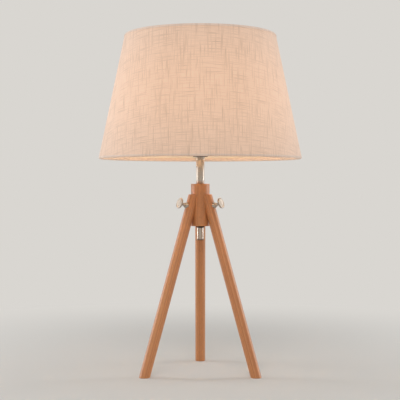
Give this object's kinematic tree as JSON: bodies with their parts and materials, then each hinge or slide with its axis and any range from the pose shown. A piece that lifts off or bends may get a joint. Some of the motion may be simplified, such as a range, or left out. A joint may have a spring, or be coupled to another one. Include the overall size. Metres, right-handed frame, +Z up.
{
  "type": "tripod table lamp",
  "caption": "Tripod table lamp with splayed round wooden legs thumbscrewed to a fluted wooden hub, a slim metal stem and a tapered linen shade over a screw-in bulb.",
  "frame": {"origin": "on the surface the lamp stands on, under its vertical axis, at the middle of the shade's outline", "axes": "+Z up along the stem; -Y towards the viewer, with one leg standing to the rear at +Y; +X to the viewer's right"},
  "size_m": [0.35, 0.35, 0.58],
  "materials": {
    "beech": "satin lacquer over pale beech",
    "satin_nickel": "satin nickel plate",
    "brass": "bare brass",
    "zinc_steel": "zinc plated steel",
    "blackened_steel": "blackened steel",
    "black_plastic": "matte moulded plastic",
    "linen": "woven linen",
    "liner_film": "translucent white film",
    "white_metal": "white powder coat",
    "bulb_glass": "opal glass",
    "bulb_aluminium": "rolled aluminium",
    "black_glass": "black vitreous insulation",
    "lead_wire": "drawn wire",
    "filament": "glowing filament"
  },
  "bodies": {
    "stand": {"leg_front_left": "beech", "leg_front_right": "beech", "leg_rear": "beech", "hub": "beech", "threaded_insert_front_left": "brass", "threaded_insert_front_right": "brass", "threaded_insert_rear": "brass", "centre_tube": "zinc_steel", "lock_nut": "blackened_steel", "lower_sleeve": "satin_nickel", "cord_bushing": "black_plastic", "stem_tube": "satin_nickel", "stem_collar": "satin_nickel", "holder_cap": "black_plastic", "holder_skirt": "black_plastic", "holder_core": "black_plastic", "screw_shell": "brass", "centre_contact": "brass", "terminal_live": "brass", "terminal_neutral": "brass", "terminal_screw_live": "zinc_steel", "terminal_screw_neutral": "zinc_steel"},
    "shade": {"shade_cover": "linen", "shade_liner": "liner_film", "bottom_hem": "linen", "top_hem": "linen", "bottom_wire": "white_metal", "top_wire": "white_metal", "fitter_plate": "white_metal", "fitter_arm_front_left": "white_metal", "fitter_arm_front_right": "white_metal", "fitter_arm_rear": "white_metal"},
    "ring": {"shade_ring": "black_plastic"},
    "bulb_tip": {"bulb_contact": "brass"},
    "bulb": {"bulb_insulator": "black_glass", "bulb_cap": "bulb_aluminium", "bulb_globe": "bulb_glass", "bulb_mount": "bulb_glass", "bulb_lead_left": "lead_wire", "bulb_lead_right": "lead_wire", "bulb_filament": "filament"},
    "washer_front_left": {"saddle_washer_front_left": "satin_nickel"},
    "screw_front_left": {"thumbscrew_front_left": "satin_nickel"},
    "washer_front_right": {"saddle_washer_front_right": "satin_nickel"},
    "screw_front_right": {"thumbscrew_front_right": "satin_nickel"},
    "washer_rear": {"saddle_washer_rear": "satin_nickel"},
    "screw_rear": {"thumbscrew_rear": "satin_nickel"}
  },
  "joints": [
    {"name": "screw_front_left_draw", "type": "slide", "parent": "stand", "child": "washer_front_left", "axis": [-0.8268, -0.4774, 0.2974], "range_m": [0, 0.004]},
    {"name": "screw_front_left_turn", "type": "hinge", "parent": "washer_front_left", "child": "screw_front_left", "pos_m": [-0.01662, -0.0096, 0.285], "axis": [-0.8268, -0.4774, 0.2974], "range_deg": [-30, 1830]},
    {"name": "screw_front_right_draw", "type": "slide", "parent": "stand", "child": "washer_front_right", "axis": [0.8268, -0.4774, 0.2974], "range_m": [0, 0.004]},
    {"name": "screw_front_right_turn", "type": "hinge", "parent": "washer_front_right", "child": "screw_front_right", "pos_m": [0.01662, -0.0096, 0.285], "axis": [0.8268, -0.4774, 0.2974], "range_deg": [-30, 1830]},
    {"name": "screw_rear_draw", "type": "slide", "parent": "stand", "child": "washer_rear", "axis": [0, 0.9548, 0.2974], "range_m": [0, 0.004]},
    {"name": "screw_rear_turn", "type": "hinge", "parent": "washer_rear", "child": "screw_rear", "pos_m": [0, 0.0192, 0.285], "axis": [0, 0.9548, 0.2974], "range_deg": [-30, 1830]},
    {"name": "shade_swivel", "type": "hinge", "parent": "stand", "child": "shade", "pos_m": [0, 0, 0.397], "axis": [0, 0, 1], "continuous": true},
    {"name": "shade_ring_turn", "type": "hinge", "parent": "stand", "child": "ring", "pos_m": [0, 0, 0.3982], "axis": [0, 0, 1], "range_deg": [0, 1080]},
    {"name": "bulb_rise", "type": "slide", "parent": "stand", "child": "bulb_tip", "axis": [0, 0, 1], "range_m": [0, 0.0199]},
    {"name": "bulb_turn", "type": "hinge", "parent": "bulb_tip", "child": "bulb", "pos_m": [0, 0, 0.397], "axis": [0, 0, 1], "range_deg": [-30, 2010]}
  ],
  "couplings": [
    {"joint": "screw_front_left_turn", "follows": "screw_front_left_draw", "rad_per_m": 7854},
    {"joint": "screw_front_right_turn", "follows": "screw_front_right_draw", "rad_per_m": 7854},
    {"joint": "screw_rear_turn", "follows": "screw_rear_draw", "rad_per_m": 7854},
    {"joint": "bulb_turn", "follows": "bulb_rise", "rad_per_m": 1731.6}
  ]
}
